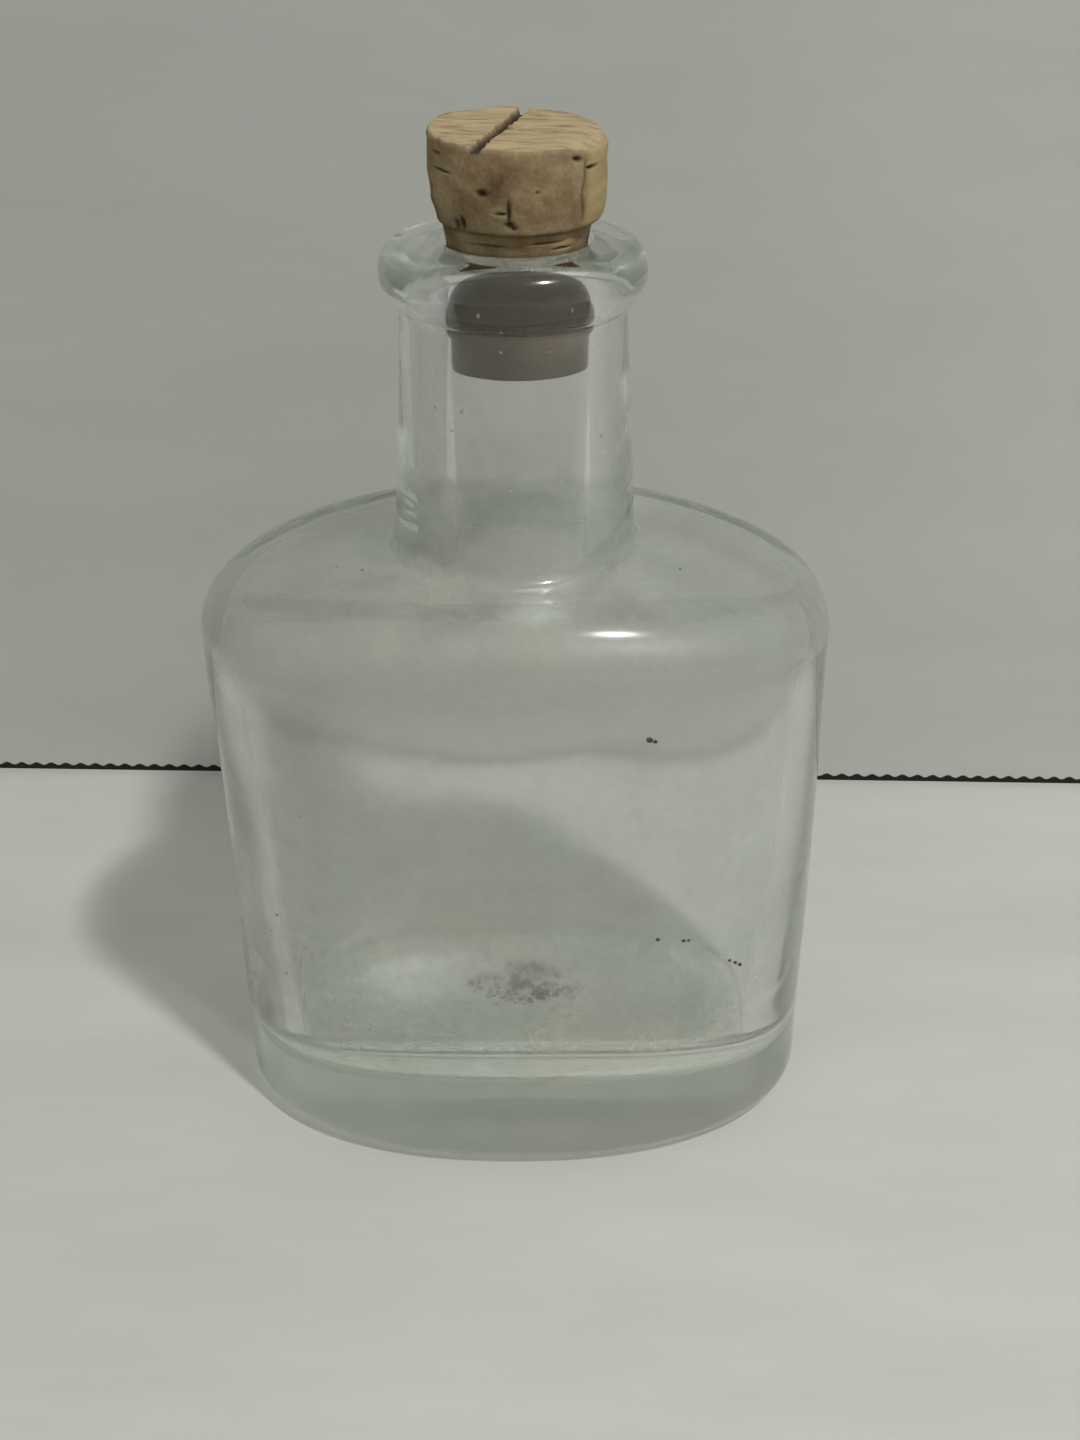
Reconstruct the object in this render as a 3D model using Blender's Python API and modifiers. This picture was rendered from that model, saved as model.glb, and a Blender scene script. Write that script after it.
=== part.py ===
"""Small apothecary bottle: a clear glass flask of oval section with a bead lip, and its cut cork.

Metres, +Z up. The origin is the middle of the foot, on the surface that the bottle stands on.
+X runs along the broad face, and the front face looks along -Y. Two objects are made: the glass,
which is one closed skin lofted from the foot over the lip and down into the cavity, and the cork,
whose origin lies on the neck's axis at the mouth, so that it pulls out along Z.
"""
import math
from dataclasses import dataclass

import bmesh
import bpy
from mathutils import Matrix, Vector

# Outside of the glass
GLASS_HEIGHT = 0.0894
BODY_WIDTH = 0.0592
BODY_DEPTH = 0.0370
BODY_SQUARENESS = 2.24
HEEL_RADIUS = 0.0028
# The shoulder arches: it falls further to the narrow ends than to the broad sides
SHOULDER_END_RISE = 0.0043
SHOULDER_BROAD_RISE = 0.0004
SHOULDER_END_RADIUS = 0.0050
SHOULDER_BROAD_RADIUS = 0.0061
NECK_LENGTH = 0.0218
NECK_TOP_DIAMETER = 0.0196
NECK_FOOT_DIAMETER = 0.0222
NECK_FOOT_FILLET = 0.0012

# Foot: a flat bearing ring round a shallow domed recess
BEARING_WIDTH = 0.0027
RECESS_DEPTH = 0.0008

# Bead lip
LIP_HEIGHT = 0.0053
LIP_CROWN_DROP = 0.00275
LIP_OVERHANG = 0.00167
LIP_ROUND_WIDTH = 0.0026
LIP_CROWN_SQUARENESS = 2.5
LIP_FOOT_SQUARENESS = 1.6
MOUTH_ROUND = 0.0004

# Inside of the glass
BORE_MOUTH_DIAMETER = 0.0124
BORE_FOOT_DIAMETER = 0.0120
BORE_FOOT_ROUND = 0.0030
SHOULDER_WALL = 0.0032
CAVITY_BROAD_RADIUS = 0.0038
CAVITY_END_RADIUS = 0.0029
BROAD_WALL_TOP = 0.0025
BROAD_WALL_FOOT = 0.0042
END_WALL_TOP = 0.0023
END_WALL_FOOT = 0.0049
FLOOR_THICKNESS = 0.0040
FLOOR_END_DROP = 0.0002
FLOOR_BROAD_RADIUS = 0.0135
FLOOR_END_RADIUS = 0.0050
# The floor's rounding keeps to this share of the cavity's half depth
FLOOR_ROUND_SHARE = 0.95

# Cork
CORK_CLEARANCE = 0.0003
CORK_SEATED_DEPTH = 0.0102
CORK_TAPER = 0.0003
CORK_TIP_CHAMFER = 0.0004
COLLAR_HEIGHT = 0.0018
COLLAR_FLARE = 0.0008
HEAD_HEIGHT = 0.0074
HEAD_LEDGE = 0.0004
HEAD_SWELL = 0.0006
HEAD_ROUND = 0.0007
TOP_TRIM_DROP = 0.0004
TOP_SLANT = math.radians(2.8)
TOP_SLANT_HEADING = math.radians(-57.2)
GROOVE_WIDTH = 0.0008
GROOVE_DEPTH = 0.0009
GROOVE_OFFSET = 0.0013
GROOVE_HEADING = math.radians(15.9)

# How finely the round shapes are divided
GLASS_SEGMENTS = 48
CORK_SEGMENTS = 40
ARC_STEPS = 6
HEAD_STEPS = 5
MERGE_DISTANCE = 0.00001

OBJECT_NAME = "apothecary_bottle"


@dataclass
class Ring:
    """One level of the loft. The level at the narrow ends may differ from that of the broad sides."""
    half_width: float
    half_depth: float
    side_level: float
    end_level: float
    squareness: float = 2.0


def round_ring(radius, level):
    """A circular level of the neck, lip or bore."""
    return Ring(radius, radius, level, level)


def between(low, high, share):
    return low + (high - low) * share


def corner_arc(before, corner, after, radius, steps=ARC_STEPS):
    """Points of the arc that rounds a corner of a two-dimensional outline."""
    back = (before - corner).normalized()
    ahead = (after - corner).normalized()
    half_angle = back.angle(ahead) / 2
    reach = radius / math.tan(half_angle)
    centre = corner + (back + ahead).normalized() * (radius / math.sin(half_angle))
    start = corner + back * reach - centre
    end = corner + ahead * reach - centre
    turn = start.angle_signed(end)
    return [centre + Matrix.Rotation(-turn * step / steps, 2) @ start for step in range(steps + 1)]


def quarter_oval(start, end, rises_first, squareness=2.0, steps=ARC_STEPS):
    """Points of a quarter superellipse between two points, leaving the first upright or level."""
    points = []
    for step in range(steps + 1):
        angle = math.pi / 2 * step / steps
        along = math.sin(angle) ** (2 / squareness)
        across = 1 - max(math.cos(angle), 0) ** (2 / squareness)
        x_share, z_share = (across, along) if rises_first else (along, across)
        points.append(Vector((between(start.x, end.x, x_share), between(start.y, end.y, z_share))))
    return points


def glass_levels():
    """Heights that the outside, the inside and the cork share."""
    lip_underside = GLASS_HEIGHT - LIP_HEIGHT
    return lip_underside, lip_underside - NECK_LENGTH


def paired_rings(ends, sides, round_radius):
    """Rings through two profiles, one up the narrow ends and one up the broad sides.

    A ring turns from round to the body's oval as its half width grows.
    """
    widest = max(point.x for point in ends)
    rings = []
    for end, side in zip(ends, sides):
        share = min(max((end.x - round_radius) / (widest - round_radius), 0.0), 1.0)
        rings.append(Ring(end.x, side.x, side.y, end.y, between(2.0, BODY_SQUARENESS, share)))
    return rings


def inset_ring(inset, level):
    """A level of the foot, drawn in evenly from the body's sides."""
    half_width, half_depth = BODY_WIDTH / 2 - inset, BODY_DEPTH / 2 - inset
    return Ring(half_width, half_depth, level, level, BODY_SQUARENESS)


def foot_rings():
    """The recess under the foot, the bearing ring and the heel, from the middle outwards."""
    bearing = inset_ring(HEEL_RADIUS + BEARING_WIDTH, 0)
    rings = []
    for share in (0.2, 0.4, 0.6, 0.8):
        level = RECESS_DEPTH * (1 - share ** 2) ** 2
        width, depth = bearing.half_width * share, bearing.half_depth * share
        rings.append(Ring(width, depth, level, level, BODY_SQUARENESS))
    rings += [bearing, inset_ring(HEEL_RADIUS, 0)]
    for step in range(1, ARC_STEPS + 1):
        angle = math.pi / 2 * step / ARC_STEPS
        rings.append(inset_ring(HEEL_RADIUS * (1 - math.sin(angle)), HEEL_RADIUS * (1 - math.cos(angle))))
    return rings


def shoulder_outline(half, rise, radius):
    """One side's profile: the straight wall, the shoulder's corner and slope, and the neck's fillet."""
    lip_underside, neck_foot = glass_levels()
    heel_top = Vector((half, HEEL_RADIUS))
    edge = Vector((half, neck_foot - rise))
    foot = Vector((NECK_FOOT_DIAMETER / 2, neck_foot))
    neck_top = Vector((NECK_TOP_DIAMETER / 2, lip_underside))
    corner = corner_arc(heel_top, edge, foot, radius)
    fillet = corner_arc(edge, foot, neck_top, NECK_FOOT_FILLET)
    slope = [corner[-1].lerp(fillet[0], share) for share in (0.25, 0.5, 0.75)]
    return [heel_top.lerp(corner[0], 0.5)] + corner + slope + fillet


def outer_shoulder_rings():
    """The body's side, the arched shoulder and the foot of the neck."""
    ends = shoulder_outline(BODY_WIDTH / 2, SHOULDER_END_RISE, SHOULDER_END_RADIUS)
    sides = shoulder_outline(BODY_DEPTH / 2, SHOULDER_BROAD_RISE, SHOULDER_BROAD_RADIUS)
    return paired_rings(ends, sides, NECK_FOOT_DIAMETER / 2)


def lip_rings():
    """The bead's underside, crown and rounded top, the flat land and the rounding into the mouth."""
    lip_underside = GLASS_HEIGHT - LIP_HEIGHT
    neck_radius = NECK_TOP_DIAMETER / 2
    crown_radius = neck_radius + LIP_OVERHANG
    mouth_radius = BORE_MOUTH_DIAMETER / 2
    under = Vector((neck_radius, lip_underside))
    crown = Vector((crown_radius, GLASS_HEIGHT - LIP_CROWN_DROP))
    land = Vector((crown_radius - LIP_ROUND_WIDTH, GLASS_HEIGHT))
    mouth = Vector((mouth_radius + MOUTH_ROUND, GLASS_HEIGHT))
    bore = Vector((mouth_radius, GLASS_HEIGHT - MOUTH_ROUND))
    outline = quarter_oval(under, crown, rises_first=False, squareness=LIP_FOOT_SQUARENESS)
    outline += quarter_oval(crown, land, rises_first=True, squareness=LIP_CROWN_SQUARENESS)[1:]
    outline += quarter_oval(mouth, bore, rises_first=False)
    return [round_ring(point.x, point.y) for point in outline]


def cavity_outline(half, rise, radius):
    """One side's profile inside: the rounded foot of the bore, the ceiling and its corner."""
    neck_foot = glass_levels()[1]
    bore_top = Vector((BORE_MOUTH_DIAMETER / 2, GLASS_HEIGHT))
    bore_foot = Vector((BORE_FOOT_DIAMETER / 2, neck_foot - SHOULDER_WALL))
    edge = Vector((half, neck_foot - rise - SHOULDER_WALL))
    rounding = corner_arc(bore_top, bore_foot, edge, BORE_FOOT_ROUND)
    corner = corner_arc(bore_foot, edge, Vector((half, 0)), radius)
    slope = [rounding[-1].lerp(corner[0], share) for share in (0.25, 0.5, 0.75)]
    return rounding + slope + corner


def cavity_shoulder_rings():
    """The foot of the bore and the cavity's arched ceiling, from the bore outwards."""
    ends = cavity_outline(BODY_WIDTH / 2 - END_WALL_TOP, SHOULDER_END_RISE, CAVITY_END_RADIUS)
    sides = cavity_outline(BODY_DEPTH / 2 - BROAD_WALL_TOP, SHOULDER_BROAD_RISE, CAVITY_BROAD_RADIUS)
    return paired_rings(ends, sides, ends[0].x)


def cavity_floor_rings(top):
    """The walls, which thicken downwards, and the floor's corner, wide on the broad sides."""
    half_depth = BODY_DEPTH / 2 - BROAD_WALL_FOOT
    broad_radius = min(FLOOR_BROAD_RADIUS, half_depth * FLOOR_ROUND_SHARE)
    end_floor = FLOOR_THICKNESS - FLOOR_END_DROP
    half_width = BODY_WIDTH / 2 - END_WALL_FOOT
    broad_top = FLOOR_THICKNESS + broad_radius
    end_top = end_floor + FLOOR_END_RADIUS
    rings = []
    for share in (0.33, 0.67):
        width, depth = between(top.half_width, half_width, share), between(top.half_depth, half_depth, share)
        level_side = between(top.side_level, broad_top, share)
        level_end = between(top.end_level, end_top, share)
        rings.append(Ring(width, depth, level_side, level_end, BODY_SQUARENESS))
    for step in range(2 * ARC_STEPS + 1):
        angle = math.pi / 2 * step / (2 * ARC_STEPS)
        inward, down = 1 - math.cos(angle), 1 - math.sin(angle)
        rings.append(Ring(half_width - FLOOR_END_RADIUS * inward, half_depth - broad_radius * inward,
                          FLOOR_THICKNESS + broad_radius * down, end_floor + FLOOR_END_RADIUS * down,
                          BODY_SQUARENESS))
    last = rings[-1]
    for share in (0.33, 0.67):
        level_end = between(end_floor, FLOOR_THICKNESS, share)
        rings.append(Ring(last.half_width * (1 - share), last.half_depth * (1 - share / 2),
                          FLOOR_THICKNESS, level_end, BODY_SQUARENESS))
    return rings


def ring_points(ring):
    """Points of one level, a superellipse whose height may follow its way from side to end."""
    points = []
    for index in range(GLASS_SEGMENTS):
        angle = 2 * math.pi * index / GLASS_SEGMENTS
        cosine, sine = math.cos(angle), math.sin(angle)
        x = ring.half_width * math.copysign(abs(cosine) ** (2 / ring.squareness), cosine)
        y = ring.half_depth * math.copysign(abs(sine) ** (2 / ring.squareness), sine)
        points.append(Vector((x, y, between(ring.side_level, ring.end_level, cosine ** 2))))
    return points


def loft(name, rings, first_centre, last_centre):
    """One closed skin through all the levels, with a fan of triangles at each end."""
    shape = bmesh.new()
    loops = [[shape.verts.new(point) for point in ring_points(ring)] for ring in rings]
    for lower, upper in zip(loops, loops[1:]):
        for index in range(GLASS_SEGMENTS):
            after = (index + 1) % GLASS_SEGMENTS
            shape.faces.new((lower[index], lower[after], upper[after], upper[index]))
    first, last = shape.verts.new(first_centre), shape.verts.new(last_centre)
    for index in range(GLASS_SEGMENTS):
        after = (index + 1) % GLASS_SEGMENTS
        shape.faces.new((first, loops[0][after], loops[0][index]))
        shape.faces.new((last, loops[-1][index], loops[-1][after]))
    mesh = bpy.data.meshes.new(name)
    shape.to_mesh(mesh)
    shape.free()
    mesh.shade_smooth()
    mesh.set_sharp_from_angle(angle=math.radians(35))
    return bpy.data.objects.new(name, mesh)


def add_box(name, size, matrix, collection):
    """A box primitive that only cuts."""
    bpy.ops.mesh.primitive_cube_add(size=1)
    box = bpy.context.object
    box.name = name
    box.data.transform(matrix @ Matrix.Diagonal((*size, 1.0)))
    for holder in list(box.users_collection):
        holder.objects.unlink(box)
    collection.objects.link(box)
    box.hide_render = True
    box.display_type = "WIRE"
    return box


def cut(target, cutter):
    """Takes the cutter's shape out of the target."""
    modifier = target.modifiers.new(cutter.name, "BOOLEAN")
    modifier.operation = "DIFFERENCE"
    modifier.solver = "EXACT"
    modifier.object = cutter


def material(name, colour, roughness, transmission=0.0, ior=1.5):
    """A plain Principled finish."""
    finish = bpy.data.materials.new(name)
    finish.use_nodes = True
    shader = finish.node_tree.nodes["Principled BSDF"]
    shader.inputs["Base Color"].default_value = (*colour, 1.0)
    shader.inputs["Roughness"].default_value = roughness
    shader.inputs["Metallic"].default_value = 0.0
    shader.inputs["Transmission Weight"].default_value = transmission
    shader.inputs["IOR"].default_value = ior
    return finish


def make_glass(collection):
    """The flask: outside from the foot up, over the lip, and down the bore into the cavity."""
    shoulder = cavity_shoulder_rings()
    rings = foot_rings() + outer_shoulder_rings() + lip_rings() + shoulder
    rings += cavity_floor_rings(shoulder[-1])
    foot_middle = Vector((0, 0, RECESS_DEPTH))
    floor_middle = Vector((0, 0, FLOOR_THICKNESS))
    glass = loft("glass_bottle", rings, foot_middle, floor_middle)
    glass.data.materials.append(material("clear_soda_lime_glass", (0.80, 0.86, 0.82), 0.03, 1.0, 1.52))
    collection.objects.link(glass)
    return glass


def cork_outline():
    """The cork's profile from the middle of its top down its side, with heights from the mouth."""
    plug_radius = BORE_MOUTH_DIAMETER / 2 - CORK_CLEARANCE
    depth_share = CORK_SEATED_DEPTH / (GLASS_HEIGHT - glass_levels()[1])
    bore_taper = (BORE_MOUTH_DIAMETER - BORE_FOOT_DIAMETER) / 2 * depth_share
    tip_radius = plug_radius - bore_taper - CORK_TAPER / 2
    ledge_radius = plug_radius + COLLAR_FLARE / 2 + HEAD_LEDGE
    head_radius = ledge_radius + HEAD_SWELL
    top = COLLAR_HEIGHT + HEAD_HEIGHT
    outline = [Vector((0, top))]
    outline += quarter_oval(Vector((head_radius - HEAD_ROUND, top)),
                            Vector((head_radius, top - HEAD_ROUND)), rises_first=False)
    for step in range(1, HEAD_STEPS + 1):
        share = step / HEAD_STEPS
        radius = head_radius - HEAD_SWELL * share ** 2
        outline.append(Vector((radius, between(top - HEAD_ROUND, COLLAR_HEIGHT, share))))
    outline.append(Vector((plug_radius + COLLAR_FLARE / 2, COLLAR_HEIGHT - HEAD_LEDGE / 2)))
    outline.append(Vector((plug_radius, 0)))
    outline.append(Vector((tip_radius, CORK_TIP_CHAMFER - CORK_SEATED_DEPTH)))
    outline.append(Vector((tip_radius - CORK_TIP_CHAMFER, -CORK_SEATED_DEPTH)))
    outline.append(Vector((0, -CORK_SEATED_DEPTH)))
    return outline


def turned(name, outline, segments, collection):
    """A profile turned round Z."""
    mesh = bpy.data.meshes.new(name)
    vertices = [(point.x, 0, point.y) for point in outline]
    mesh.from_pydata(vertices, [(index, index + 1) for index in range(len(vertices) - 1)], [])
    body = bpy.data.objects.new(name, mesh)
    collection.objects.link(body)
    screw = body.modifiers.new("turn", "SCREW")
    screw.axis = "Z"
    screw.angle = 2 * math.pi
    screw.steps = segments
    screw.render_steps = segments
    screw.use_merge_vertices = True
    screw.merge_threshold = MERGE_DISTANCE
    screw.use_smooth_shade = True
    return body


def make_cork(parts, cutters):
    """The cork, turned, then trimmed askew across its top and grooved."""
    cork = turned("cork_stopper", cork_outline(), CORK_SEGMENTS, parts)
    cork.location = (0, 0, GLASS_HEIGHT)
    cork.data.materials.append(material("natural_cork", (0.47, 0.33, 0.17), 0.9))
    top = GLASS_HEIGHT + COLLAR_HEIGHT + HEAD_HEIGHT
    reach = 2 * BORE_MOUTH_DIAMETER
    tilt_heading = TOP_SLANT_HEADING + math.pi / 2
    tilt_axis = Vector((math.cos(tilt_heading), math.sin(tilt_heading), 0))
    plane = Matrix.Translation((0, 0, top - TOP_TRIM_DROP)) @ Matrix.Rotation(TOP_SLANT, 4, tilt_axis)
    slab = plane @ Matrix.Translation((0, 0, HEAD_HEIGHT / 2))
    cut(cork, add_box("top_trim_cutter", (reach, reach, HEAD_HEIGHT), slab, cutters))
    groove = plane @ Matrix.Rotation(-GROOVE_HEADING, 4, "Z") @ Matrix.Translation((-GROOVE_OFFSET, 0, 0))
    cut(cork, add_box("groove_cutter", (GROOVE_WIDTH, reach, 2 * GROOVE_DEPTH), groove, cutters))
    return cork


def main():
    for item in list(bpy.data.objects):
        bpy.data.objects.remove(item, do_unlink=True)
    parts = bpy.data.collections.new(OBJECT_NAME)
    cutters = bpy.data.collections.new("cutters")
    for collection in (parts, cutters):
        bpy.context.scene.collection.children.link(collection)
    make_glass(parts)
    make_cork(parts, cutters)


main()
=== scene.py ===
"""Dresses the apothecary bottle: a small clear glass flask with a bead lip, and its cut cork.

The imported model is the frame. The glass and the cork are built again here as finer meshes at the
same sizes, with the slight lean and ripple of a flask that was blown in a mould, seeds in its wall,
dried residue inside it, and a knife-cut cork with its pores and cracks.
"""
import logging
import math
from dataclasses import dataclass, field
from enum import Enum
from typing import Iterable, Optional, Sequence, Tuple

import bpy
import numpy as np
from bpy.types import ID, Material, Mesh, Node, NodeSocket, NodeTree, Object
from mathutils import Matrix, Vector


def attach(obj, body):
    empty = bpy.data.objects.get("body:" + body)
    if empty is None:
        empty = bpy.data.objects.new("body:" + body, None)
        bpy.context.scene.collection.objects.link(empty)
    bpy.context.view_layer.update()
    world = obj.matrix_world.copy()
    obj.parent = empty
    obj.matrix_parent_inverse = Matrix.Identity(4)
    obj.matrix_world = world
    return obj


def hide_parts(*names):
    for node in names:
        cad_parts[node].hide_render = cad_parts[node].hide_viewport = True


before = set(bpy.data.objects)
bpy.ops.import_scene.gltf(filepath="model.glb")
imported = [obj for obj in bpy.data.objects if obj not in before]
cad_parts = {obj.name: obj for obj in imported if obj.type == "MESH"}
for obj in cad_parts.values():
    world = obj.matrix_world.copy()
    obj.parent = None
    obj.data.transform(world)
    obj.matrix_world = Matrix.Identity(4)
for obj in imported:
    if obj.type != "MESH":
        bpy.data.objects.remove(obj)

log = logging.getLogger("apothecary_bottle")

MM = 0.001
# Plane waves that are added up in one uneven field
WAVE_COUNT = 9

Colour = Tuple[float, float, float, float]
Point = Tuple[float, float, float]


class Body(Enum):
    """The moving bodies of the frame."""

    BOTTLE = "bottle"
    CORK = "cork"


def linear(code: str) -> Colour:
    """Turns an sRGB hex colour into the linear colour that a shader takes, with an alpha of 1."""
    values = [int(code[start:start + 2], 16) / 255 for start in (0, 2, 4)]
    return (*(value / 12.92 if value <= 0.04045 else ((value + 0.055) / 1.055) ** 2.4 for value in values), 1.0)


def add_node(tree: NodeTree, kind: str, settings: Optional[dict] = None,
             stops: Sequence[Tuple[float, str]] = ()) -> Node:
    """Adds a node with its settings and its incoming links.

    Args:
        tree: The node tree that it goes into.
        kind: The node's type name.
        settings: Node properties by name, and what goes into an input by the input's name or number: a value,
            an sRGB hex colour, an output socket, or a node, which stands for its first output in use.
        stops: A colour ramp's pairs of place and sRGB hex colour, in order.

    Returns:
        The new node.
    """
    node = tree.nodes.new(kind)
    for key, value in (settings or {}).items():
        if isinstance(value, Node):
            value = next(socket for socket in value.outputs if socket.enabled)
        if isinstance(value, NodeSocket):
            tree.links.new(value, node.inputs[key])
        elif isinstance(key, str) and hasattr(node, key):
            setattr(node, key, value)
        else:
            node.inputs[key].default_value = linear(value) if isinstance(value, str) else value
    for index, (place, code) in enumerate(stops):
        elements = node.color_ramp.elements
        element = elements[index] if index < len(elements) else elements.new(place)
        element.position, element.color = place, linear(code)
    return node


@dataclass(frozen=True)
class Finish:
    """What all finishes share: a name, and a material made of a surface and perhaps a depth."""

    name: str = ""

    def surface(self, tree: NodeTree) -> Node:
        """Adds the nodes of the surface, and returns its shader."""
        raise NotImplementedError

    def depth(self, tree: NodeTree) -> dict:
        """Adds what lies under the surface, if anything does, by the output node's input that it goes to."""
        return {}

    def material(self) -> Material:
        """Builds the material.

        Returns:
            The material.
        """
        material = bpy.data.materials.new(self.name)
        material.use_nodes = True
        tree = material.node_tree
        tree.nodes.clear()
        add_node(tree, "ShaderNodeOutputMaterial", {"Surface": self.surface(tree), **self.depth(tree)})
        return material


def place_object(name: str, data: ID, finish: Optional[Finish] = None) -> Object:
    """Makes an object and puts it into the scene.

    Args:
        name: The object's name.
        data: Its mesh, lamp or camera.
        finish: What a mesh is made of.

    Returns:
        The object.
    """
    if finish:
        data.materials.append(finish.material())
    thing = bpy.data.objects.new(name, data)
    bpy.context.scene.collection.objects.link(thing)
    return thing


def smooth_step(low: float, high: float, value: np.ndarray) -> np.ndarray:
    """A soft step of the values, from 0 at low to 1 at high."""
    share = np.clip((np.asarray(value, float) - low) / (high - low), 0.0, 1.0)
    return share * share * (3 - 2 * share)


def waves(points: np.ndarray, wavelength: float, seed: int) -> np.ndarray:
    """A smooth, uneven field made of a few plane waves, the same each run.

    Args:
        points: Places in metres, one a row.
        wavelength: The usual distance from crest to crest.
        seed: Chooses the waves.

    Returns:
        Values of about -1 to 1.
    """
    chance = np.random.default_rng(seed)
    total = np.zeros(len(points))
    for _ in range(WAVE_COUNT):
        heading = chance.normal(size=3)
        heading *= 2 * math.pi / (wavelength * chance.uniform(0.75, 1.5) * np.linalg.norm(heading))
        total += np.sin(points @ heading + chance.uniform(0, 2 * math.pi))
    return total / math.sqrt(WAVE_COUNT)


def grid_normals(grid: np.ndarray) -> np.ndarray:
    """Unit normals of a closed band of rings, from its neighbours along and across.

    Args:
        grid: Points as rings, points of a ring, coordinates.

    Returns:
        Normals of the same shape, to the left of the way from ring to ring.
    """
    round_way = np.roll(grid, -1, axis=1) - np.roll(grid, 1, axis=1)
    along = np.gradient(grid, axis=0)
    normal = np.cross(round_way, along)
    length = np.linalg.norm(normal, axis=2, keepdims=True)
    return normal / np.maximum(length, 1e-12)


def bands(base: int, rings: int, segments: int) -> list:
    """Faces between neighbouring rings of points, of which the first ring starts at the base index."""
    return [(low + one, low + (one + 1) % segments, low + segments + (one + 1) % segments, low + segments + one)
            for low in range(base, base + (rings - 1) * segments, segments) for one in range(segments)]


def mesh_of_grid(name: str, grid: np.ndarray, first: Sequence[float], last: Sequence[float]) -> Mesh:
    """Makes a closed mesh from rings of points with a middle point at each end.

    Args:
        name: The mesh's name.
        grid: Points as rings, points of a ring, coordinates.
        first: The middle point before the first ring.
        last: The middle point after the last ring.

    Returns:
        A smooth-shaded mesh whose faces come ring by ring.
    """
    rings, segments, _ = grid.shape
    points = np.vstack([grid.reshape(-1, 3), [first], [last]])
    top, count = (rings - 1) * segments, rings * segments
    faces = bands(0, rings, segments)
    faces += [(count, (one + 1) % segments, one) for one in range(segments)]
    faces += [(count + 1, top + one, top + (one + 1) % segments) for one in range(segments)]
    mesh = bpy.data.meshes.new(name)
    mesh.from_pydata(points.tolist(), [], faces)
    mesh.shade_smooth()
    return mesh


def paint(mesh: Mesh, name: str, values: np.ndarray) -> None:
    """Stores one value a point as an attribute of a mesh, for its material to read."""
    layer = mesh.attributes.new(name, "FLOAT", "POINT")
    layer.data.foreach_set("value", np.asarray(values, np.float32))


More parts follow.
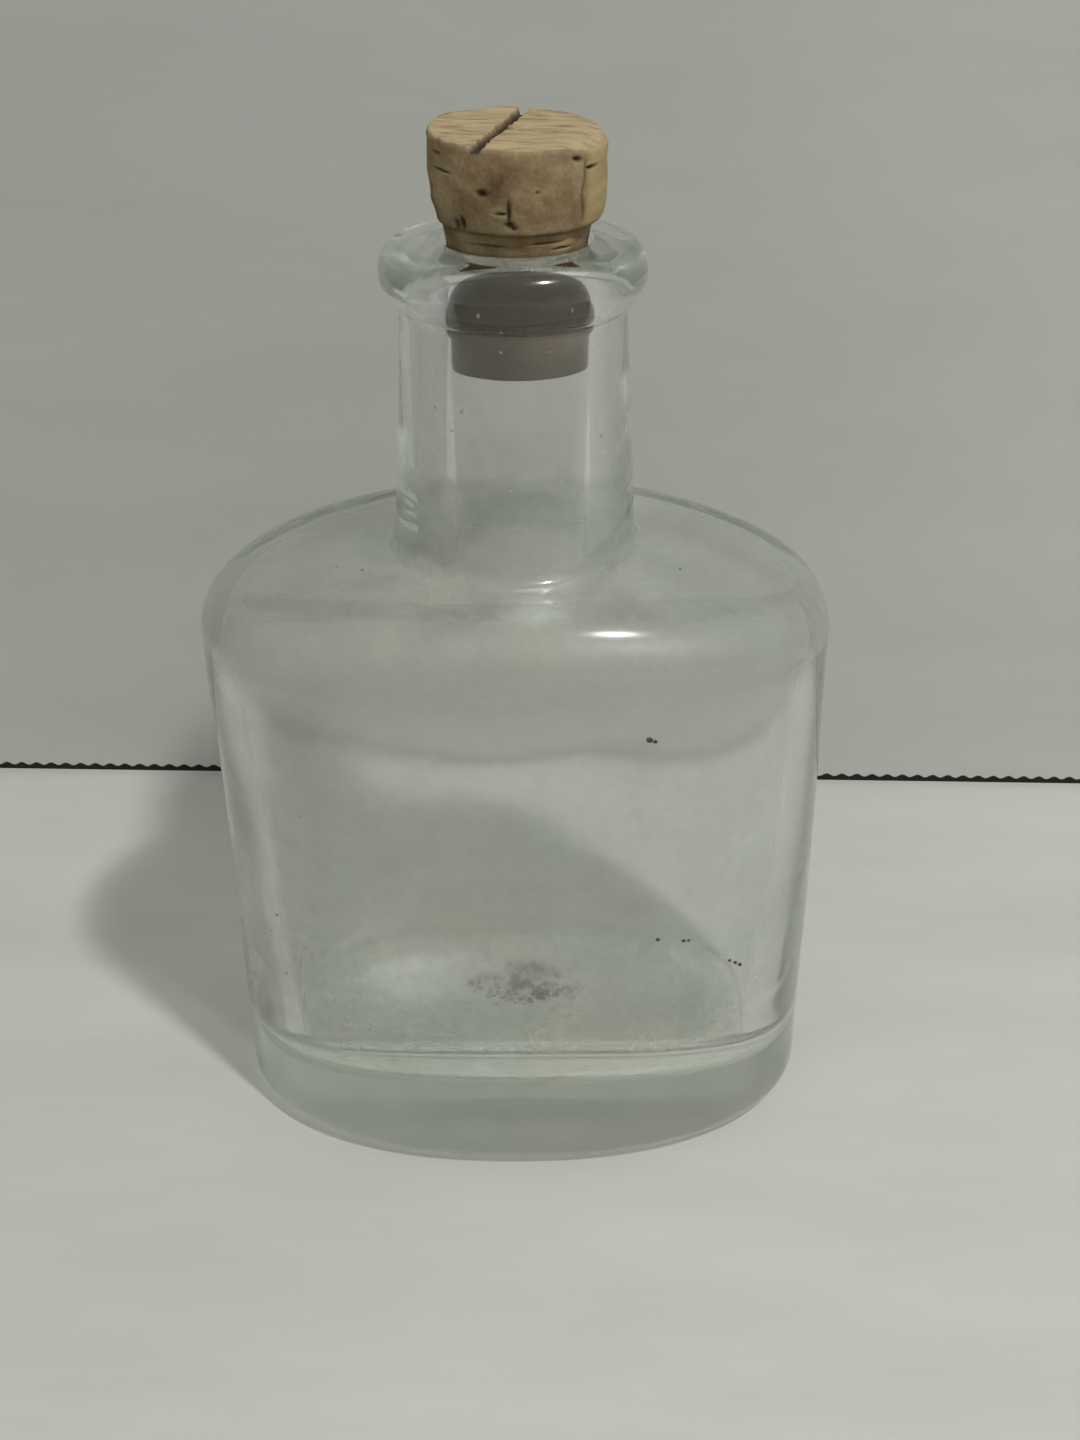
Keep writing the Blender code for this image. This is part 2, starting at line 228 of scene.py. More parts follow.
@dataclass(frozen=True)
class BottleGlass(Finish):
    """Clear soda-lime bottle glass, blown in a mould: a fire-polished skin that mirrors its lamps.

    Its iron gives thick places a grey-green cast, so the colour lies in the depth and not on the skin.
    """

    name: str = "soda_lime_glass_mould_blown"
    # Typical refractive index of soda-lime bottle glass
    ior: float = 1.52
    # The tint and how fast it deepens, so that 35 mm of glass at the foot looks grey-green
    body_colour: str = "B8CCC2"
    depth_density: float = 10.5
    # How much light one skin lets on to what lies behind it in the lamp's shadow
    shadow_colour: str = "BABCB6"
    # Etching by old contents softens what is seen through the inner skin
    etched_roughness: float = 0.60
    # A trace of grease spreads the lamp's glint along the shoulder
    grease: float = 0.5
    grease_roughness: float = 0.17
    ripple_height: float = 0.02 * MM
    haze_olive: str = "D8D6C6"
    haze_grey: str = "CFD8CE"
    # Share of the light on the film that goes through it
    haze_through: float = 0.45
    soil: str = "4C463A"
    # Millimetres from crest to crest, detail and roughness: the skin's faint ripple, the clouds in the
    # film and the drift of its tone, and grains of soil of about 0.4 mm that gather in flecks
    noises: Tuple[Tuple[str, float, float, float], ...] = (
        ("ripple", 3.0, 1.0, 0.4), ("cloud", 6.0, 6.0, 0.62), ("drift", 16.0, 3.0, 0.5),
        ("grain", 0.45, 3.0, 0.65), ("fleck", 1.6, 2.0, 0.5),
    )

    def surface(self, tree: NodeTree) -> Node:
        """Adds the skin, one for both sides of the glass, because its depth lies between them.

        Args:
            tree: The material's node tree.

        Returns:
            The shader of the skin.
        """
        place = add_node(tree, "ShaderNodeTexCoord").outputs["Object"]
        noise = {name: add_node(tree, "ShaderNodeTexNoise",
                                {"Scale": 1 / (crest * MM), "Detail": detail, "Roughness": roughness, "Vector": place})
                 for name, crest, detail, roughness in self.noises}
        marks = {name: add_node(tree, "ShaderNodeAttribute", {"attribute_name": name}).outputs["Fac"]
                 for name in ("film", "soil", "etched", "touched")}
        bump = add_node(tree, "ShaderNodeBump",
                        {"Strength": 0.25, "Distance": self.ripple_height, "Height": noise["ripple"]})
        rough = add_node(tree, "ShaderNodeMapRange", {"To Max": self.etched_roughness, "Value": marks["etched"]})
        greasy = add_node(tree, "ShaderNodeMapRange", {"To Max": self.grease, "Value": marks["touched"]})
        glass = add_node(tree, "ShaderNodeBsdfPrincipled", {
            "Base Color": "FFFFFF", "IOR": self.ior, "Transmission Weight": 1.0, "Roughness": rough,
            "Normal": bump, "Coat Weight": greasy, "Coat Roughness": self.grease_roughness})
        shadow = add_node(tree, "ShaderNodeLightPath").outputs["Is Shadow Ray"]
        clear = add_node(tree, "ShaderNodeBsdfTransparent", {"Color": self.shadow_colour})
        return add_node(tree, "ShaderNodeMixShader",
                        {0: shadow, 1: self.film(tree, noise, marks, glass), 2: clear})

    def depth(self, tree: NodeTree) -> dict:
        """Adds the tint that deepens with the thickness of the glass, as a volume."""
        return {"Volume": add_node(tree, "ShaderNodeVolumeAbsorption",
                                   {"Color": self.body_colour, "Density": self.depth_density})}

    def film(self, tree: NodeTree, noise: dict, marks: dict, glass: Node) -> Node:
        """Lays the cloudy film of age and the grains of dried soil over the skins.

        Args:
            tree: The material's node tree.
            noise: The noise nodes by name.
            marks: The sockets that give the flask's painted marks by name.
            glass: The bare glass.

        Returns:
            The glass with its film.
        """
        thick = add_node(tree, "ShaderNodeMapRange", {
            "From Min": 0.36, "From Max": 0.64, "To Min": 0.30, "To Max": 2.0, "Value": noise["cloud"]})
        share = add_node(tree, "ShaderNodeMath",
                         {"operation": "MULTIPLY", "use_clamp": True, 0: marks["film"], 1: thick})
        tone = add_node(tree, "ShaderNodeValToRGB", {"Fac": noise["drift"]},
                        [(0.40, self.haze_grey), (0.58, self.haze_olive)])
        facing = add_node(tree, "ShaderNodeBsdfDiffuse", {"Color": tone})
        through = add_node(tree, "ShaderNodeBsdfTranslucent", {"Color": tone})
        haze = add_node(tree, "ShaderNodeMixShader", {0: self.haze_through, 1: facing, 2: through})
        hazed = add_node(tree, "ShaderNodeMixShader", {0: share, 1: glass, 2: haze})
        both = add_node(tree, "ShaderNodeMath", {"operation": "MULTIPLY", 0: noise["grain"], 1: noise["fleck"]})
        near = add_node(tree, "ShaderNodeMath", {"operation": "ADD", 0: both, 1: marks["soil"]})
        cover = add_node(tree, "ShaderNodeMapRange",
                         {"From Min": 0.56, "From Max": 0.72, "To Max": 0.85, "Value": near})
        # Soil lies on the skin and shows from its own side, not in the mirror images within the glass
        behind = add_node(tree, "ShaderNodeNewGeometry").outputs["Backfacing"]
        upon = add_node(tree, "ShaderNodeMath", {"operation": "SUBTRACT", "use_clamp": True, 0: cover, 1: behind})
        dust = add_node(tree, "ShaderNodeBsdfDiffuse", {"Color": self.soil})
        return add_node(tree, "ShaderNodeMixShader", {0: upon, 1: hazed, 2: dust})


@dataclass(frozen=True)
class NaturalCork(Finish):
    """Natural cork, cut with a knife: a dry, matt cell structure with dark pores and fine cut lines."""

    name: str = "natural_cork_knife_cut"
    pale: str = "9D8C6C"
    mid: str = "846F50"
    brown: str = "5F4A35"
    # The pores' dark colour, also painted into the top's groove as shade in the cut
    pore_and_groove_shade: str = "2A231B"
    top: str = "A89674"
    top_pale: str = "B3A381"
    rubbed: str = "A9966A"
    # Colour of stains, of the painted shade under the head's ledge, and of the plug's darkening inside the bore
    stain_and_shade_tone: str = "2E271D"
    # Cork has no gloss of its own
    roughness: float = 0.9
    ior: float = 1.45
    # Millimetres from crest to crest, detail and roughness: soft blotches of tone, the cells, which show
    # as a grain of about a third of a millimetre, and the knife's streaks, which run across the top
    blotch: Point = (3.2, 4.0, 0.6)
    cell: Point = (0.35, 4.0, 0.7)
    streak: Point = (0.55, 3.0, 0.6)
    streak_stretch: Point = (0.16, 1.0, 1.0)
    cell_depth: float = 0.08 * MM

    def surface(self, tree: NodeTree) -> Node:
        """Adds the cork's skin.

        Args:
            tree: The material's node tree.

        Returns:
            The shader of the skin.
        """
        place = add_node(tree, "ShaderNodeTexCoord").outputs["Object"]
        stretch = add_node(tree, "ShaderNodeMapping", {"Scale": self.streak_stretch, "Vector": place})
        blotch, cells, streaks = [
            add_node(tree, "ShaderNodeTexNoise",
                     {"Scale": 1 / (crest * MM), "Detail": detail, "Roughness": roughness, "Vector": way})
            for (crest, detail, roughness), way in ((self.blotch, place), (self.cell, place), (self.streak, stretch))]
        tones = add_node(tree, "ShaderNodeValToRGB", {"Fac": blotch},
                         [(0.24, self.brown), (0.44, self.mid), (0.72, self.pale)])
        speck = add_node(tree, "ShaderNodeMapRange", {
            "From Min": 0.35, "From Max": 0.70, "To Min": 0.82, "To Max": 1.12, "Value": cells})
        colour = add_node(tree, "ShaderNodeMix", {
            "data_type": "RGBA", "blend_type": "MULTIPLY", "Factor": 1.0, "A": tones, "B": speck})
        cut = add_node(tree, "ShaderNodeValToRGB", {"Fac": streaks},
                       [(0.30, self.mid), (0.50, self.top), (0.75, self.top_pale)])
        # The cut top, rubbed places, stains with the painted shade under the head, and pores with the groove's painted
        # shade lie over the colour of the sides, in that order
        for name, over in (("cut_top", cut), ("worn", self.rubbed), ("stain_and_shade", self.stain_and_shade_tone), ("pore_and_groove_shade", self.pore_and_groove_shade)):
            mark = add_node(tree, "ShaderNodeAttribute", {"attribute_name": name}).outputs["Fac"]
            colour = add_node(tree, "ShaderNodeMix", {"data_type": "RGBA", "Factor": mark, "A": colour, "B": over})
        bump = add_node(tree, "ShaderNodeBump", {"Strength": 0.8, "Distance": self.cell_depth, "Height": cells})
        return add_node(tree, "ShaderNodeBsdfPrincipled", {
            "Roughness": self.roughness, "IOR": self.ior, "Specular IOR Level": 0.25,
            "Base Color": colour, "Normal": bump})


@dataclass(frozen=True)
class MattCard(Finish):
    """Uncoated white card, rolled: an even, matt sheet with the faintest cloud and streak in its tone."""

    name: str = "white_card_rolled"
    tone: str = "CDCEC7"
    shade: str = "C6C7C0"
    one_sided: bool = False
    # The streaks are this far apart, and four times as long
    cloud_mm: float = 14.0
    # Painted light: how much lighter or darker its colour is made from place to place, as shares a metre along its
    # width, depth and height
    drift: Point = (0.0, 0.0, 0.0)

    def surface(self, tree: NodeTree) -> Node:
        """Adds the card's face, which a board seen from behind doesn't show.

        Args:
            tree: The material's node tree.

        Returns:
            The shader of the face.
        """
        place = add_node(tree, "ShaderNodeTexCoord").outputs["Object"]
        stretch = add_node(tree, "ShaderNodeMapping", {"Scale": (0.25, 1.0, 1.0), "Vector": place})
        cloud = add_node(tree, "ShaderNodeTexNoise", {
            "Scale": 1 / (self.cloud_mm * MM), "Detail": 5.0, "Roughness": 0.6, "Vector": stretch})
        tones = add_node(tree, "ShaderNodeValToRGB", {"Fac": cloud}, [(0.35, self.shade), (0.65, self.tone)])
        drift = add_node(tree, "ShaderNodeVectorMath", {"operation": "DOT_PRODUCT", 0: place, 1: self.drift})
        share = add_node(tree, "ShaderNodeMath", {"operation": "ADD", 0: drift, 1: 1.0})
        painted_light_tones = add_node(tree, "ShaderNodeMix", {
            "data_type": "RGBA", "blend_type": "MULTIPLY", "Factor": 1.0, "A": tones, "B": share})
        face = add_node(tree, "ShaderNodeBsdfPrincipled", {
            "Roughness": 0.85, "Specular IOR Level": 0.2, "Base Color": painted_light_tones})
        if not self.one_sided:
            return face
        behind = add_node(tree, "ShaderNodeNewGeometry").outputs["Backfacing"]
        clear = add_node(tree, "ShaderNodeBsdfTransparent")
        return add_node(tree, "ShaderNodeMixShader", {0: behind, 1: face, 2: clear})


@dataclass(frozen=True)
class TrappedAir(Finish):
    """The wall of a bubble in soda-lime glass: it flashes, and darkens at its edge."""

    name: str = "soda_lime_glass_trapped_air"
    ior: float = BottleGlass.ior

    def surface(self, tree: NodeTree) -> Node:
        """Adds the bubble's wall.

        Args:
            tree: The material's node tree.

        Returns:
            The shader of the wall.
        """
        glass = add_node(tree, "ShaderNodeBsdfPrincipled", {
            "Base Color": "FFFFFF", "Roughness": 0.0, "IOR": self.ior, "Transmission Weight": 1.0})
        shadow = add_node(tree, "ShaderNodeLightPath").outputs["Is Shadow Ray"]
        clear = add_node(tree, "ShaderNodeBsdfTransparent")
        return add_node(tree, "ShaderNodeMixShader", {0: shadow, 1: glass, 2: clear})


@dataclass(frozen=True)
class DriedSoil(Finish):
    """Soil that dried on the glass: dark, matt and grainy."""

    name: str = "dried_soil_baked_on"
    dark: str = "3A352B"
    pale: str = "5A5344"
    grain_mm: float = 0.2

    def surface(self, tree: NodeTree) -> Node:
        """Adds the soil's surface.

        Args:
            tree: The material's node tree.

        Returns:
            The shader of the soil.
        """
        place = add_node(tree, "ShaderNodeTexCoord").outputs["Object"]
        grain = add_node(tree, "ShaderNodeTexNoise", {"Scale": 1 / (self.grain_mm * MM), "Vector": place})
        tones = add_node(tree, "ShaderNodeValToRGB", {"Fac": grain}, [(0.3, self.dark), (0.7, self.pale)])
        return add_node(tree, "ShaderNodeBsdfDiffuse", {"Color": tones})


@dataclass
class Outline:
    """A list of ring sizes from one end of the glass to the other, as rows of five numbers.

    A row is half width, half depth, level at the broad sides, level at the ends and squareness.
    """

    rows: list = field(default_factory=list)

    def add(self, half_width: float, half_depth: float, side: float, end: Optional[float] = None,
            squareness: float = 2.0) -> None:
        """Adds one ring, level all round unless its end level differs."""
        self.rows.append((half_width, half_depth, side, side if end is None else end, squareness))

    def pair(self, ends: list, sides: list, oval_from: float, squareness: float, round_to: float = 0.0) -> None:
        """Adds a ring for each pair of profile points, one at the narrow ends and one at the broad sides.

        Args:
            ends: Points of half width and level.
            sides: As many points of half depth and level.
            oval_from: The half width at which the ring is as square as the body, or the neck's radius.
            squareness: How square the body is.
            round_to: The half width up to which a ring is round.
        """
        widest = max(point.x for point in ends)
        low = round_to or oval_from
        high = oval_from if round_to else widest
        for end, side in zip(ends, sides):
            share = min(max((end.x - low) / (high - low), 0.0), 1.0)
            self.add(end.x, side.x, side.y, end.y, 2.0 + (squareness - 2.0) * share)

    def grid(self, segments: int) -> np.ndarray:
        """Turns the rows into points.

        Args:
            segments: Points a ring.

        Returns:
            Points as rings, points of a ring, coordinates.
        """
        rows = np.array(self.rows)
        angle = np.arange(segments) * 2 * math.pi / segments
        cosine, sine = np.cos(angle), np.sin(angle)
        power = (2 / rows[:, 4])[:, None]
        x = rows[:, 0, None] * np.sign(cosine) * np.abs(cosine)[None, :] ** power
        y = rows[:, 1, None] * np.sign(sine) * np.abs(sine)[None, :] ** power
        z = rows[:, 2, None] + (rows[:, 3] - rows[:, 2])[:, None] * (cosine ** 2)[None, :]
        return np.stack([x, y, z], axis=2)


def corner_arc(before: Vector, corner: Vector, after: Vector, radius: float, steps: int) -> list:
    """Points of the arc that rounds a corner of a profile.

    Args:
        before: A point on the way in.
        corner: The sharp corner.
        after: A point on the way out.
        radius: The arc's radius.
        steps: How many pieces the arc is cut into.

    Returns:
        The arc's points in order.
    """
    back, ahead = (before - corner).normalized(), (after - corner).normalized()
    half = back.angle(ahead) / 2
    centre = corner + (back + ahead).normalized() * (radius / math.sin(half))
    start = corner + back * radius / math.tan(half) - centre
    end = corner + ahead * radius / math.tan(half) - centre
    turn = start.angle_signed(end)
    return [centre + Matrix.Rotation(-turn * step / steps, 2) @ start for step in range(steps + 1)]


def bulge(start: Vector, end: Vector, rises_first: bool, power: float, steps: int) -> list:
    """Points of a quarter superellipse between two points of a profile.

    Args:
        start: Where it starts.
        end: Where it ends.
        rises_first: Whether it leaves upright, and not level.
        power: 2 for an ellipse, and more for a squarer shoulder.
        steps: How many pieces it is cut into.

    Returns:
        The points in order.
    """
    points = []
    for step in range(steps + 1):
        angle = math.pi / 2 * step / steps
        along, across = math.sin(angle) ** (2 / power), 1 - math.cos(angle) ** (2 / power)
        x_share, z_share = (across, along) if rises_first else (along, across)
        points.append(Vector((start.x + (end.x - start.x) * x_share, start.y + (end.y - start.y) * z_share)))
    return points


def run(start: Vector, end: Vector, steps: int) -> list:
    """Points between two points of a profile, without either."""
    return [start.lerp(end, step / steps) for step in range(1, steps)]


@dataclass
class GlassFlask:
    """The blown flask: foot, oval body, shoulder, neck and bead lip outside, bore and cavity inside."""

    height: float = 89.4 * MM
    body_width: float = 59.2 * MM
    body_depth: float = 37.0 * MM
    squareness: float = 2.24
    heel_radius: float = 2.8 * MM
    bearing_width: float = 2.7 * MM
    recess_depth: float = 0.8 * MM
    # The shoulder arches: it falls further to the narrow ends than to the broad sides
    end_rise: float = 4.3 * MM
    broad_rise: float = 0.4 * MM
    shoulder_end_radius: float = 5.0 * MM
    shoulder_broad_radius: float = 6.1 * MM
    neck_length: float = 21.8 * MM
    neck_top_radius: float = 9.8 * MM
    neck_foot_radius: float = 11.1 * MM
    neck_fillet: float = 1.2 * MM
    lip_height: float = 5.3 * MM
    lip_radius: float = 11.47 * MM
    lip_crown_drop: float = 2.75 * MM
    lip_round: float = 2.6 * MM
    lip_squareness: float = 2.5
    lip_foot_squareness: float = 1.6
    mouth_round: float = 0.4 * MM
    bore_mouth_radius: float = 6.2 * MM
    bore_foot_radius: float = 6.0 * MM
    bore_flare: float = 3.0 * MM
    ceiling_thickness: float = 3.2 * MM
    cavity_broad_radius: float = 3.8 * MM
    cavity_end_radius: float = 2.9 * MM
    broad_wall_top: float = 2.5 * MM
    broad_wall_foot: float = 4.2 * MM
    end_wall_top: float = 2.3 * MM
    end_wall_foot: float = 4.9 * MM
    floor_thickness: float = 4.0 * MM
    floor_broad_radius: float = 13.5 * MM
    floor_end_level: float = 3.8 * MM
    floor_end_radius: float = 5.0 * MM
    # The flask came out of its mould a little crooked: its shoulder stands left of its foot
    lean: float = -0.45 * MM
    lean_from: float = 30.0 * MM
    lean_to: float = 58.0 * MM
    # its neck comes back a little
    neck_return: float = 0.12 * MM
    return_to: float = 66.0 * MM
    # and its bore stands right of the neck's middle
    bore_offset: float = 0.36 * MM
    offset_from: float = 50.0 * MM
    offset_to: float = 64.0 * MM
    offset_radius: float = 7.5 * MM
    # The skins ripple as glass does that cooled against its mould
    outside_ripple: float = 0.04 * MM
    outside_wave: float = 13.0 * MM
    inside_ripple: float = 0.03 * MM
    inside_wave: float = 20.0 * MM
    # Share of the ripple that tooling took away in the lip and bore
    tooled: float = 0.85
    segments: int = 192
    finish: BottleGlass = field(default_factory=BottleGlass)

    @property
    def neck_foot(self) -> float:
        """The level where the neck meets the shoulder."""
        return self.height - self.lip_height - self.neck_length

    @property
    def lip_underside(self) -> float:
        """The level of the bead's underside."""
        return self.height - self.lip_height

    def foot_rings(self, outline: Outline) -> None:
        """Adds the recess under the foot, the bearing ring and the heel.

        Args:
            outline: Where they go.
        """
        half_width, half_depth = self.body_width / 2, self.body_depth / 2
        bearing = self.heel_radius + self.bearing_width
        insets = [(bearing, self.recess_depth * (1 - share ** 2) ** 2, share) for share in np.linspace(0.05, 1.0, 24)]
        insets += [(inset, 0.0, 1.0) for inset in np.linspace(bearing, self.heel_radius, 5)[1:]]
        for angle in np.linspace(0, math.pi / 2, 15)[1:]:
            insets.append((self.heel_radius * (1 - math.sin(angle)), self.heel_radius * (1 - math.cos(angle)), 1.0))
        for inset, level, share in insets:
            outline.add((half_width - inset) * share, (half_depth - inset) * share, level, None, self.squareness)

    def shoulder(self, half: float, rise: float, radius: float) -> list:
        """The outer profile of one side, from the top of the heel to the underside of the lip.

        Args:
            half: The body's half width or half depth.
            rise: How far the shoulder rises there from its edge to the neck.
            radius: The radius of the shoulder's corner there.

        Returns:
            Points of distance from the axis and level.
        """
        heel_top, edge = Vector((half, self.heel_radius)), Vector((half, self.neck_foot - rise))
        foot = Vector((self.neck_foot_radius, self.neck_foot))
        neck_top = Vector((self.neck_top_radius, self.lip_underside))
        corner = corner_arc(heel_top, edge, foot, radius, 28)
        fillet = corner_arc(edge, foot, neck_top, self.neck_fillet, 12)
        points = run(heel_top, corner[0], 44) + corner + run(corner[-1], fillet[0], 22) + fillet
        return points + run(fillet[-1], neck_top, 30)

    def outside(self) -> Outline:
        """The rings from the middle of the foot up to the mouth's rounding.

        Returns:
            The outline of the outer skin.
        """
        outline = Outline()
        self.foot_rings(outline)
        outline.pair(self.shoulder(self.body_width / 2, self.end_rise, self.shoulder_end_radius),
                     self.shoulder(self.body_depth / 2, self.broad_rise, self.shoulder_broad_radius),
                     self.neck_foot_radius, self.squareness)
        neck_top = Vector((self.neck_top_radius, self.lip_underside))
        crown = Vector((self.lip_radius, self.height - self.lip_crown_drop))
        land = Vector((self.lip_radius - self.lip_round, self.height))
        mouth = Vector((self.bore_mouth_radius + self.mouth_round, self.height))
        bore = Vector((self.bore_mouth_radius, self.height - self.mouth_round))
        points = bulge(neck_top, crown, False, self.lip_foot_squareness, 14)
        points += bulge(crown, land, True, self.lip_squareness, 24)[1:]
        for point in points + run(land, mouth, 5) + bulge(mouth, bore, False, 2.0, 10):
            outline.add(point.x, point.x, point.y)
        return outline

    def cavity(self, half: float, rise: float, wall_top: float, wall_foot: float, shoulder_radius: float,
               floor: float, floor_radius: float) -> list:
        """The inner profile of one side, from below the mouth to the foot of the cavity's wall and floor.

        Args:
            half: The body's half width or half depth.
            rise: How far the shoulder rises there.
            wall_top: The wall's thickness at the shoulder.
            wall_foot: The wall's thickness at the foot.
            shoulder_radius: The radius of the corner under the shoulder there.
            floor: The level of the floor there.
            floor_radius: The radius of the floor's corner there.

        Returns:
            Points of distance from the axis and level.
        """
        top_half, foot_half = half - wall_top, half - wall_foot
        slope = rise / (half - self.neck_foot_radius)
        thickness = self.ceiling_thickness * math.hypot(1, slope)
        rise_to_bore = slope * (self.neck_foot_radius - self.bore_foot_radius)
        bore_foot = Vector((self.bore_foot_radius, self.neck_foot + rise_to_bore - thickness))
        edge = Vector((top_half, self.neck_foot - rise + slope * wall_top - thickness))
        mouth = Vector((self.bore_mouth_radius, self.height - self.mouth_round))
        foot = Vector((foot_half, floor + floor_radius))
        flare = corner_arc(mouth, bore_foot, edge, self.bore_flare, 20)
        corner = corner_arc(bore_foot, edge, foot, shoulder_radius, 22)
        points = run(mouth, flare[0], 36) + flare + run(flare[-1], corner[0], 16) + corner + run(corner[-1], foot, 30)
        for angle in np.linspace(0, math.pi / 2, 44):
            points.append(Vector((foot_half - floor_radius * (1 - math.cos(angle)),
                                  floor + floor_radius * (1 - math.sin(angle)))))
        return points

    def inside(self) -> Outline:
        """The rings from below the mouth down the bore and cavity to the middle of the floor.

        Returns:
            The outline of the inner skin.
        """
        outline = Outline()
        ends = self.cavity(self.body_width / 2, self.end_rise, self.end_wall_top, self.end_wall_foot,
                           self.cavity_end_radius, self.floor_end_level, self.floor_end_radius)
        sides = self.cavity(self.body_depth / 2, self.broad_rise, self.broad_wall_top, self.broad_wall_foot,
                            self.cavity_broad_radius, self.floor_thickness, self.floor_broad_radius)
        outline.pair(ends, sides, self.bore_foot_radius + 4 * self.bore_flare, self.squareness, ends[0].x)
        last = outline.rows[-1]
        for share in np.linspace(0, 1, 14)[1:-1]:
            rise = float(smooth_step(0, 1, share))
            outline.add(last[0] * (1 - share), last[1] * (1 - share * 0.75), self.floor_thickness,
                        self.floor_end_level + (self.floor_thickness - self.floor_end_level) * rise, self.squareness)
        return outline

    def leaning(self, points: np.ndarray, inner: np.ndarray) -> np.ndarray:
        """Shifts points sideways by the flask's lean at their level.

        Args:
            points: Places, one a row.
            inner: Whether each point lies on the inner skin.

        Returns:
            The shifted places.
        """
        moved = np.array(points, float)
        level = moved[:, 2]
        moved[:, 0] += self.lean * smooth_step(self.lean_from, self.lean_to, level)
        moved[:, 0] += self.neck_return * smooth_step(self.lean_to, self.return_to, level)
        core = inner | (np.hypot(*moved[:, :2].T) < self.offset_radius)
        moved[:, 0] += self.bore_offset * smooth_step(self.offset_from, self.offset_to, level) * core
        return moved

    def marks(self, points: np.ndarray, inner: np.ndarray) -> dict:
        """Works out how clouded, etched and soiled the glass is at each point.

        Args:
            points: Places, one a row.
            inner: Whether each point lies on the inner skin.

        Returns:
            Amounts from 0 to 1 by the name that the material reads.
        """
        # All places and levels are in millimetres here
        x, y, z = points.T / MM
        front = smooth_step(6.0, -4.0, y)
        neck = smooth_step(62.0, 65.0, z)
        lip = smooth_step(83.0, 84.5, z)
        shoulder = smooth_step(54.5, 59.5, z) * (1 - neck) * (0.35 + 0.65 * front)
        ceiling = smooth_step(50.0, 55.0, z) * smooth_step(72.0, 64.0, z)
        root = np.exp(-((z - 62.5) / 3.0) ** 2) * smooth_step(17.0, 12.0, np.abs(x))
        low = smooth_step(50.5, 48.5, z) * (0.6 + 0.4 * smooth_step(40.0, 15.0, z))
        floor = smooth_step(13.0, 6.0, z)
        film = np.where(inner, 0.04 + 0.15 * ceiling + 0.03 * low - 0.03 * floor,
                        0.05 + 0.08 * shoulder + 0.15 * low * front * smooth_step(9.0, 16.0, z) + 0.08 * root)
        film = film * (1 - 0.7 * lip) * np.where(~inner & (z < 1.2), 0.3, 1.0)
        left = np.exp(-((x + 24) / 3.0) ** 2 - ((z - 13) / 8.0) ** 2)
        patch = np.exp(-((x - 0.3) / 9.0) ** 2 - ((y - 5.2) / 4.2) ** 2) * (z < 9)
        soil = np.where(inner, 0.40 * patch + 0.27 * left + 0.05 * floor, 0.0)
        dull = 0.17 * (1 - neck) * smooth_step(18.0, 27.0, z)
        etched = np.where(inner, 0.03 + dull + 0.50 * ceiling + 0.90 * floor * smooth_step(9.0, 6.5, z),
                          0.07 * shoulder + 0.45 * smooth_step(1.0, 0.3, z))
        return {"film": film, "soil": soil, "etched": np.clip(etched, 0, 1), "touched": np.where(inner, 0.0, 1.0)}

    def build(self) -> Object:
        """Builds the flask's mesh.

        Returns:
            The glass as one closed mesh.
        """
        outer, inner = self.outside().grid(self.segments), self.inside().grid(self.segments)
        grid = np.vstack([outer, inner])
        flat = grid.reshape(-1, 3)
        normals = grid_normals(grid).reshape(-1, 3)
        is_inner = np.repeat([False] * len(outer) + [True] * len(inner), self.segments)
        # The foot stands flat, so it doesn't ripple
        level = flat[:, 2]
        calm = smooth_step(0.0, 6 * MM, level) * (1 - self.tooled * smooth_step(80 * MM, 84 * MM, level))
        outer_wave = self.outside_ripple * (waves(flat, self.outside_wave, 3) - 1.5).clip(-3, 0)
        inner_wave = self.inside_ripple * waves(flat, self.inside_wave, 8)
        inner_wave *= 1 - self.tooled * smooth_step(55 * MM, 63 * MM, level)
        moved = flat + normals * (np.where(is_inner, inner_wave, outer_wave) * calm)[:, None]
        moved = self.leaning(moved, is_inner).reshape(grid.shape)
        mesh = mesh_of_grid("apothecary_flask", moved, (0, 0, self.recess_depth), (0, 0, self.floor_thickness))
        everything = np.vstack([moved.reshape(-1, 3), [(0, 0, 0)], [(0, 0, self.floor_thickness)]])
        for name, values in self.marks(everything, np.append(is_inner, [False, True])).items():
            paint(mesh, name, values)
        flask = place_object("apothecary_flask", mesh, self.finish)
        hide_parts("glass_bottle")
        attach(flask, Body.BOTTLE.value)
        return flask


